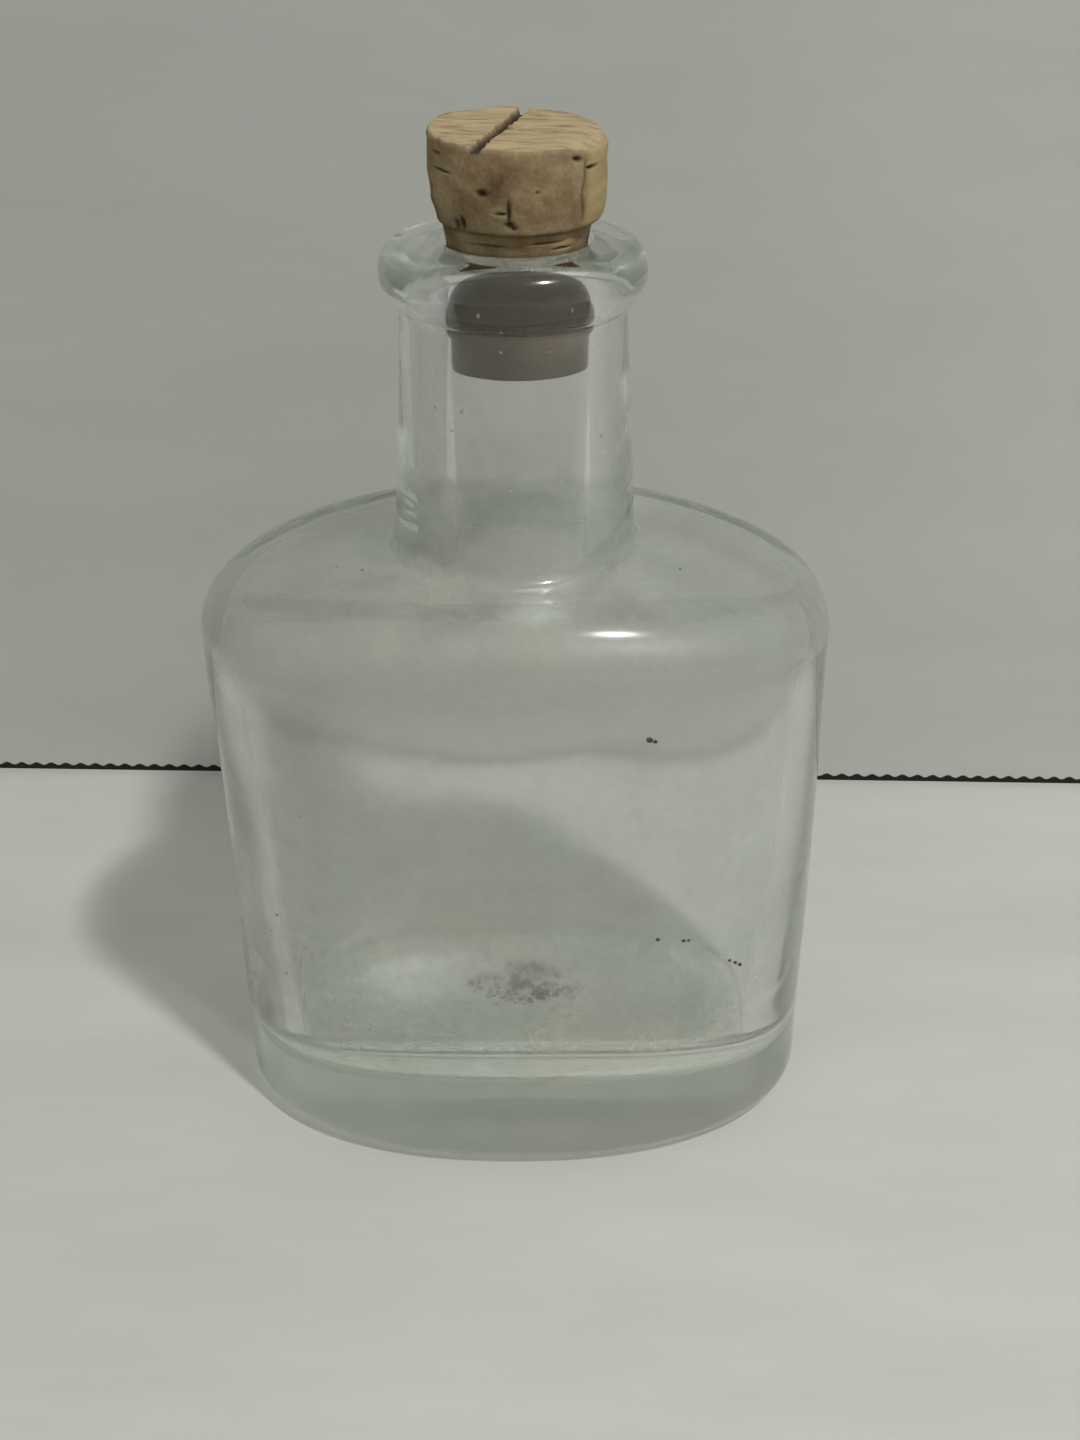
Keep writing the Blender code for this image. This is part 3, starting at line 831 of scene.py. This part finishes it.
@dataclass
class CorkStopper:
    """The cut cork: a plug in the bore, a dark collar, and a swelling head with a slanted, grooved top."""

    mouth_level: float = 89.4 * MM
    axis_x: float = 0.04 * MM
    # The cork presses on the front of the bore, where the glass shows it without a gap
    axis_y: float = -0.15 * MM
    plug_tip_radius: float = 5.93 * MM
    plug_waist_radius: float = 6.02 * MM
    plug_knee_radius: float = 6.06 * MM
    plug_grip_radius: float = 6.095 * MM
    plug_mouth_radius: float = 5.98 * MM
    # It touches the bore from the grip down to the knee, and stands clear above and below
    grip_level: float = -3.7 * MM
    grip_ease: float = 0.35 * MM
    knee_level: float = -5.2 * MM
    knee_ease: float = 0.5 * MM
    collar_radius: float = 6.32 * MM
    ledge_radius: float = 6.75 * MM
    head_radius: float = 7.38 * MM
    tip_level: float = -10.2 * MM
    ledge_level: float = 1.8 * MM
    top_level: float = 8.8 * MM
    top_round: float = 0.35 * MM
    slant: float = math.radians(2.8)
    slant_heading: float = math.radians(-57.2)
    groove_width: float = 0.95 * MM
    groove_depth: float = 0.6 * MM
    groove_offset: float = 1.3 * MM
    groove_heading: float = math.radians(15.9)
    rim_drop: float = 0.45 * MM
    pore_depth: float = 0.3 * MM
    right_swell: float = 0.42 * MM
    segments: int = 320
    finish: NaturalCork = field(default_factory=NaturalCork)

    def profile(self) -> list:
        """The cork's half section from the rim down to its tip, with heights from the mouth.

        Returns:
            Points of radius and level.
        """
        rim = Vector((self.head_radius - self.top_round, self.top_level))
        side = Vector((self.head_radius, self.top_level - self.top_round))
        belly = Vector((self.head_radius - 0.04 * MM, self.top_level - 2.2 * MM))
        ledge = Vector((self.ledge_radius, self.ledge_level + 0.25 * MM))
        under = Vector((self.collar_radius + 0.02 * MM, self.ledge_level - 0.1 * MM))
        at = Vector((self.plug_mouth_radius, 0))
        end = Vector((self.plug_tip_radius - 0.4 * MM, self.tip_level))
        points = bulge(rim, side, False, 2.0, 5) + run(side, belly, 16)
        for share in np.linspace(0, 1, 40):
            level = belly.y + (ledge.y - belly.y) * share
            points.append(Vector((belly.x + (ledge.x - belly.x) * share ** 2.2, level)))
        points += bulge(ledge, under, True, 2.0, 6)[1:] + run(under, at, 18) + [at]
        # The radius and level at the foot of each stretch of the plug, and the pieces that it is cut into
        for radius, level, steps in ((self.plug_mouth_radius, self.grip_level + self.grip_ease, 14),
                                     (self.plug_grip_radius, self.grip_level, 5),
                                     (self.plug_knee_radius, self.knee_level, 16),
                                     (self.plug_waist_radius, self.knee_level - self.knee_ease, 6),
                                     (self.plug_tip_radius, self.tip_level + 0.4 * MM, 24)):
            after = Vector((radius, level))
            points += run(at, after, steps) + [after]
            at = after
        return points + bulge(at, end, True, 2.0, 5)[1:]

    def build(self) -> Object:
        """Builds the cork's mesh.

        Returns:
            The cork.
        """
        angle = np.arange(self.segments) * 2 * math.pi / self.segments
        ring = np.stack([np.cos(angle), np.sin(angle)], axis=1)
        section = self.profile()
        shares = np.sqrt(np.linspace(0.0004, 1, 70))[:-1]
        top = [Vector((section[0].x * share, self.top_level)) for share in shares]
        bottom = [Vector((section[-1].x * share, self.tip_level)) for share in np.linspace(1, 0.05, 20)[1:]]
        rows = top + section + bottom
        grid = np.array([[(*(row.x * ring[i]), row.y) for i in range(self.segments)] for row in rows])
        flat = grid.reshape(-1, 3)
        normals = -grid_normals(grid).reshape(-1, 3)
        shaped, marks = self.carve(flat, normals)
        shaped[:, :2] += (self.axis_x, self.axis_y)
        shaped[:, 2] += self.mouth_level
        mesh = mesh_of_grid("cut_cork", shaped.reshape(grid.shape)[::-1],
                            (self.axis_x, self.axis_y, self.mouth_level + self.tip_level),
                            tuple(shaped[0] * 0.5 + shaped[self.segments // 2] * 0.5))
        for name, values in marks.items():
            ends = [0.0, values[0]]
            paint(mesh, name, np.append(values.reshape(grid.shape[:2])[::-1].reshape(-1), ends))
        cork = place_object("cut_cork", mesh, self.finish)
        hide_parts("cork_stopper")
        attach(cork, Body.CORK.value)
        return cork

    def carve(self, flat: np.ndarray, normals: np.ndarray) -> Tuple[np.ndarray, dict]:
        """Cuts the slant, groove, pores and cracks into the turned shape.

        Args:
            flat: The turned shape's points, with heights from the mouth.
            normals: Its outward normals.

        Returns:
            The carved points and the marks that the material reads.
        """
        x, y, z = flat.T.copy()
        radius = np.hypot(x, y)
        above = smooth_step(self.ledge_level, self.top_level, z)
        drop = math.tan(self.slant) * (x * math.cos(self.slant_heading) + y * math.sin(self.slant_heading))
        lowered = z - drop * above
        across = (x + self.groove_offset) * math.cos(self.groove_heading) - y * math.sin(self.groove_heading)
        across = across + 0.09 * MM * waves(flat, 3.5 * MM, 21)
        cut = 1 - smooth_step(0.34 * self.groove_width, 0.58 * self.groove_width, np.abs(across))
        near_top = smooth_step(self.top_level - 2.0 * MM, self.top_level, z)
        rim = smooth_step(self.top_level - 0.45 * MM, self.top_level - 0.1 * MM, z)
        # The knife ran out at the near rim
        cut = cut * smooth_step(-self.head_radius - 0.4 * MM, -self.head_radius + 0.3 * MM, y)
        shallow = smooth_step(-self.head_radius + 0.1 * MM, -self.head_radius + 1.6 * MM, y)
        lowered = lowered - cut * near_top * shallow * self.groove_depth
        is_top = (z > self.top_level - 0.02 * MM).astype(float)
        terraces = 0.07 * MM * waves(flat * np.array([0.18, 1, 1]), 1.1 * MM, 5)
        lowered += is_top * terraces * (1 - cut)
        turn = np.degrees(np.arctan2(x, -y))
        # The rim is rubbed down on the right
        rubbed = smooth_step(5.2 * MM, 7.4 * MM, radius) * smooth_step(30, 52, turn) * smooth_step(118, 92, turn)
        lowered -= self.rim_drop * rubbed * above
        moved = np.stack([x, y, lowered], axis=1)
        rough = 0.035 * MM * waves(flat, 1.7 * MM, 12) + 0.08 * MM * waves(flat, 6.0 * MM, 13)
        head = smooth_step(self.ledge_level - 0.3 * MM, self.ledge_level + 0.5 * MM, z)
        pores = np.maximum(self.pores(flat), is_top * self.top_marks(flat))
        depth = np.where(z > 0, rough * (0.35 + 0.65 * head), -0.02 * MM) - self.pore_depth * pores * (z > 0.2 * MM)
        # The head's right side keeps its width down to the ledge
        right = smooth_step(35, 75, turn) * smooth_step(145, 105, turn)
        low = smooth_step(self.ledge_level + 5.0 * MM, self.ledge_level + 0.8 * MM, z)
        depth += self.right_swell * right * head * low
        moved += normals * (depth * (1 - is_top))[:, None]
        # Painted shade: the collar and a thin line under the head's ledge are darkened where the head shades them
        collar = smooth_step(self.ledge_level + 0.3 * MM, self.ledge_level - 0.1 * MM, z) * (z < 4 * MM)
        under_head = np.exp(-((z - self.ledge_level + 0.05 * MM) / (0.22 * MM)) ** 2)
        inside_neck = smooth_step(0.3 * MM, -0.6 * MM, z)
        ochre = np.exp(-((turn - 40) / 9) ** 2 - ((z - 0.6 * MM) / (0.6 * MM)) ** 2)
        brown = np.exp(-((turn - 30) / 22) ** 2 - ((z + 7.2 * MM) / (1.3 * MM)) ** 2)
        # The plug is darker inside the bore, and more so above the knee
        in_bore_darkening = (0.72 + 0.10 * smooth_step(-5.6 * MM, -4.9 * MM, z)) * inside_neck
        stain_and_shade = np.clip(0.08 * collar + 0.45 * under_head + in_bore_darkening - 0.36 * brown - 0.3 * ochre, 0, 1)
        worn = smooth_step(47, 56, turn) * smooth_step(120, 90, turn) * head * (1 - is_top)
        # Painted shade: the groove across the top takes the pores' dark colour
        marks = {"cut_top": is_top * (1 - cut), "pore_and_groove_shade": np.clip(pores + 0.92 * cut * rim, 0, 1),
                 "stain_and_shade": stain_and_shade, "worn": np.clip(0.75 * worn + 0.8 * ochre, 0, 1)}
        return moved, marks

    def top_marks(self, flat: np.ndarray) -> np.ndarray:
        """Marks the short dark streaks in the cut top.

        Args:
            flat: The turned shape's points.

        Returns:
            How dark each point is, from 0 to 1.
        """
        total = np.zeros(len(flat))
        # Place, width and depth in millimetres
        for across, back, wide, deep in ((1.0, -0.6, 0.8, 0.16), (-4.6, -3.2, 0.8, 0.22), (-5.6, -2.4, 0.5, 0.2),
                                         (3.4, -1.0, 0.5, 0.12), (2.2, 2.6, 0.6, 0.12), (-3.4, 3.0, 0.9, 0.12)):
            spot = ((flat[:, 0] - across * MM) / (wide * MM)) ** 2 + ((flat[:, 1] - back * MM) / (deep * MM)) ** 2
            total = np.maximum(total, 0.6 * np.exp(-spot))
        return total

    def pores(self, flat: np.ndarray) -> np.ndarray:
        """Marks the pores and cracks in the cork's sides.

        Args:
            flat: The turned shape's points.

        Returns:
            How deep each point lies in a pore, from 0 to 1.
        """
        x, y, z = flat.T
        z = z + 0.4 * MM
        around = np.arctan2(x, -y)
        radius = np.hypot(x, y)
        # Angle from the front in degrees, height above the mouth, width and height, all but the angle in mm
        places = [(-21.5, 5.7, 0.44, 0.30), (-45.0, 2.7, 0.26, 0.5), (-39.5, 2.9, 0.34, 0.6), (-4.5, 4.2, 0.16, 1.1),
                  (-4.0, 3.2, 0.40, 0.30), (-9.0, 4.1, 0.50, 0.12), (-1.5, 2.9, 0.24, 0.2), (42.0, 8.5, 0.55, 0.22),
                  (55.0, 7.75, 0.7, 0.18), (-54.0, 6.9, 1.1, 0.09), (-60.0, 8.1, 0.8, 0.08), (14.0, 5.9, 0.1, 0.1),
                  (24.0, 1.4, 1.6, 0.07), (-20.0, 1.2, 2.0, 0.06), (38.0, 0.8, 0.9, 0.08)]
        chance = np.random.default_rng(7)
        for _ in range(26):
            places.append((chance.uniform(70, 290), chance.uniform(-8, 8.5), chance.uniform(0.12, 0.4),
                           chance.uniform(0.1, 0.45)))
        total = np.zeros(len(flat))
        for heading, level, wide, high in places:
            turn = np.angle(np.exp(1j * (around - math.radians(heading))))
            spot = np.exp(-((turn * radius / (wide * MM)) ** 2 + ((z - level * MM) / (high * MM)) ** 2) ** 1.5)
            total = np.maximum(total, spot)
        crack = np.angle(np.exp(1j * (around - math.radians(49.0)))) * radius + 0.12 * MM * waves(flat, 2.5 * MM, 4)
        total = np.maximum(total, 0.7 * np.exp(-(crack / (0.13 * MM)) ** 2) * smooth_step(2.4 * MM, 3.4 * MM, z)
                           * smooth_step(8.9 * MM, 8.0 * MM, z))
        return total * (radius > 5 * MM)


@dataclass
class Grains:
    """Many tiny rounded grains that stay with the bottle, in its glass or on its skin."""

    name: str
    # Place and width of each, in millimetres
    places: Sequence[Tuple[float, float, float, float]]
    finish: Finish
    # Height as a share of the width
    stretch: float
    rows: int = 7
    columns: int = 10

    def build(self) -> Object:
        """Builds the grains as one mesh.

        Returns:
            The grains.
        """
        points, faces = [], []
        around = range(self.columns)
        for x, y, z, width in self.places:
            base, radius = len(points), width * MM / 2
            for row in range(self.rows):
                tilt = math.pi * (row + 0.5) / self.rows
                for column in around:
                    turn = 2 * math.pi * column / self.columns
                    points.append((x * MM + radius * math.sin(tilt) * math.cos(turn),
                                   y * MM + radius * math.sin(tilt) * math.sin(turn),
                                   z * MM + self.stretch * radius * math.cos(tilt)))
            faces += bands(base, self.rows, self.columns)
            faces.append(tuple(base + column for column in reversed(around)))
            faces.append(tuple(base + (self.rows - 1) * self.columns + column for column in around))
        mesh = bpy.data.meshes.new(self.name)
        mesh.from_pydata(points, [], faces)
        mesh.shade_smooth()
        grains = place_object(self.name, mesh, self.finish)
        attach(grains, Body.BOTTLE.value)
        return grains


# Seeds: tiny bubbles that were left in the glass when it was gathered
SEEDS = (
    (-2.9, -10.3, 86.0, 0.30), (-1.2, -9.9, 84.6, 0.24), (-1.2, -8.6, 82.4, 0.24), (2.6, -8.5, 82.4, 0.20),
    (4.4, -9.6, 86.2, 0.26), (-6.6, -7.0, 77.0, 0.36), (-4.3, -7.6, 77.0, 0.34), (-5.2, -7.4, 75.2, 0.22),
    (-0.6, -8.9, 70.4, 0.26), (7.0, -6.8, 74.4, 0.3), (-20.0, -13.0, 40.0, 0.2), (5.0, 16.5, 35.0, 0.26),
    (-12.0, 16.4, 44.0, 0.3), (20.0, 12.0, 30.0, 0.24), (-6.0, 16.8, 20.0, 0.2), (2.0, -3.0, 2.2, 0.34),
    (-14.0, -6.0, 2.4, 0.3), (16.0, 4.0, 2.2, 0.36), (9.0, -9.0, 2.6, 0.22),
)
# Specks of dried dirt that stick to the outer skin
SPECKS = (
    (11.4, -17.45, 50.5, 0.6), (11.9, -17.4, 50.3, 0.4), (12.9, -17.1, 28.3, 0.42), (15.4, -16.4, 27.6, 0.40),
    (15.9, -16.2, 27.5, 0.34), (20.2, -14.4, 23.6, 0.36), (20.8, -14.1, 23.1, 0.36), (21.3, -13.8, 22.6, 0.40),
    (-23.4, -10.9, 27.0, 0.30), (-24.2, -10.2, 24.5, 0.26), (-23.0, -11.3, 20.0, 0.30), (-22.6, -11.7, 33.5, 0.24),
    (-14.0, -6.0, 61.4, 0.3), (-16.5, -4.4, 60.9, 0.24), (14.5, -5.5, 61.2, 0.26),
)


@dataclass
class CardStage:
    """The sheet of card that the bottle stands on and the board that stands behind it."""

    floor_reach: float = 1.2
    # The card gives a hair under the bearing ring, so that light creeps in
    foot_gap: float = 0.05 * MM
    board_distance: float = 55.5 * MM
    board_turn: float = math.radians(-1.8)
    board_half_width: float = 0.42
    board_height: float = 0.42
    # The board is fluted: its foot touches only between the flutes
    board_gap: float = 0.95 * MM
    flute: float = 2.1 * MM
    flute_depth: float = 0.22 * MM
    flute_steps: int = 8
    # Behind that gap stands a dark sheet: a painted shadow under the board's foot
    gap_shadow_depth: float = 0.12 * MM

    def sheet(self, name: str, corners: Iterable[Point], finish: MattCard) -> Object:
        """Makes one flat sheet of card.

        Args:
            name: The sheet's name.
            corners: Its corners, anticlockwise as seen from its front.
            finish: What it is made of.

        Returns:
            The sheet.
        """
        mesh = bpy.data.meshes.new(name)
        points = [tuple(corner) for corner in corners]
        mesh.from_pydata(points, [], [tuple(range(len(points)))])
        sheet = place_object(name, mesh, finish)
        return sheet

    def build(self) -> None:
        """Builds the floor and the board."""
        reach = self.floor_reach
        corners = ((-reach, -reach), (reach, -reach), (reach, reach), (-reach, reach))
        self.sheet("card_floor", [(x, y, -self.foot_gap) for x, y in corners], MattCard())
        wide, high = self.board_half_width, self.board_height
        steps = int(2 * wide / self.flute) * self.flute_steps
        edge = []
        for step in range(steps + 1):
            across = -wide + 2 * wide * step / steps
            edge.append((across, 0, self.board_gap + self.flute_depth * math.cos(2 * math.pi * across / self.flute)))
        # Painted light: the board's colour is made lighter to the right and darker towards its top
        board = self.sheet("card_board", edge + [(wide, 0, high), (-wide, 0, high)],
                           MattCard(name="white_card_board", tone="C3C4BD", shade="BEBFB8", one_sided=True,
                                    drift=(0.5, 0.0, -1.5)))
        # Painted shadow: a dark sheet just behind the gap under the board
        gap_shadow = self.sheet("painted_gap_shadow", [(-wide, 0, 0), (wide, 0, 0), (wide, 0, self.board_gap * 2),
                                             (-wide, 0, self.board_gap * 2)],
                            MattCard(name="painted_gap_shadow_card", tone="2A2A26", shade="1E1E1B", one_sided=True))
        for sheet, behind in ((board, 0.0), (gap_shadow, self.gap_shadow_depth)):
            sheet.location = (0, self.board_distance + behind, 0)
            sheet.rotation_euler = (0, 0, self.board_turn)


@dataclass
class PlainLight:
    """One close, soft lamp over the right shoulder of the camera, and an even grey room round it."""

    heading: float = math.radians(38.8)
    elevation: float = math.radians(58.6)
    distance: float = 0.55
    centre_level: float = 0.045
    lamp_size: float = 0.036
    lamp_watts: float = 1.64
    room_strength: float = 0.47
    seen_room: str = "A2A39C"

    def build(self) -> None:
        """Builds the lamp and the room."""
        data = bpy.data.lights.new("soft_lamp", "AREA")
        data.shape = "DISK"
        data.size = self.lamp_size
        data.energy = self.lamp_watts
        lamp = place_object("soft_lamp", data)
        way = Vector((math.sin(self.heading) * math.cos(self.elevation),
                      -math.cos(self.heading) * math.cos(self.elevation), math.sin(self.elevation)))
        lamp.location = Vector((0, 0, self.centre_level)) + way * self.distance
        lamp.rotation_mode = "QUATERNION"
        lamp.rotation_quaternion = way.to_track_quat("Z", "Y")
        world = bpy.data.worlds.new("grey_room")
        bpy.context.scene.world = world
        world.use_nodes = True
        tree = world.node_tree
        tree.nodes.clear()
        path = add_node(tree, "ShaderNodeLightPath").outputs
        first = add_node(tree, "ShaderNodeMath",
                         {"operation": "MAXIMUM", 0: path["Is Camera Ray"], 1: path["Is Glossy Ray"]})
        seen = add_node(tree, "ShaderNodeMath", {"operation": "MAXIMUM", 0: first, 1: path["Is Transmission Ray"]})
        light = add_node(tree, "ShaderNodeBackground", {"Color": "FFFFFF", "Strength": self.room_strength})
        shown = add_node(tree, "ShaderNodeBackground", {"Color": self.seen_room, "Strength": 1.0})
        both = add_node(tree, "ShaderNodeMixShader", {0: seen, 1: light, 2: shown})
        add_node(tree, "ShaderNodeOutputWorld", {"Surface": both})


@dataclass
class PhotoCamera:
    """The camera at the photograph's place: close, and looking down on the bottle."""

    position: Point = (1.743 * MM, -139.869 * MM, 125.42 * MM)
    pitch: float = math.radians(30.755)
    turn: float = math.radians(0.057)
    roll: float = math.radians(-0.124)
    # Focal length as a share of the picture's height, which is its long side
    focal_share: float = 1650 / 1440
    sensor: float = 36.0

    def build(self) -> Object:
        """Builds the camera and makes it the scene's.

        Returns:
            The camera.
        """
        data = bpy.data.cameras.new("photo_camera")
        data.sensor_fit = "AUTO"
        data.sensor_width = self.sensor
        data.lens = self.focal_share * self.sensor
        data.clip_start, data.clip_end = 0.005, 10
        camera = place_object("photo_camera", data)
        ahead = Vector((math.sin(self.turn) * math.cos(self.pitch), math.cos(self.turn) * math.cos(self.pitch),
                        -math.sin(self.pitch)))
        level = Vector((math.cos(self.turn), -math.sin(self.turn), 0))
        upward = level.cross(ahead)
        right = level * math.cos(self.roll) + upward * math.sin(self.roll)
        above = upward * math.cos(self.roll) - level * math.sin(self.roll)
        rotation = Matrix((right, above, -ahead)).transposed()
        camera.matrix_world = Matrix.Translation(self.position) @ rotation.to_4x4()
        bpy.context.scene.camera = camera
        return camera


def set_picture() -> None:
    """Sets the plain view transform, and lets light bounce as often as thick glass needs."""
    scene = bpy.context.scene
    scene.view_settings.view_transform = "Standard"
    scene.cycles.max_bounces = scene.cycles.transmission_bounces = scene.cycles.transparent_max_bounces = 18
    scene.cycles.glossy_bounces = 10


def main() -> None:
    """Builds the stage, the camera and the bottle, piece by piece."""
    logging.basicConfig(level=logging.INFO, format="%(name)s: %(message)s")
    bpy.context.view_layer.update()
    set_picture()
    PhotoCamera().build()
    CardStage().build()
    PlainLight().build()
    for maker in (GlassFlask(), CorkStopper(), Grains("glass_seeds", SEEDS, TrappedAir(), stretch=1.25),
                  Grains("dirt_specks", SPECKS, DriedSoil(), stretch=0.7)):
        piece = maker.build()
        log.info("%s: %d points", piece.name, len(piece.data.vertices))


if __name__ == "__main__":
    main()
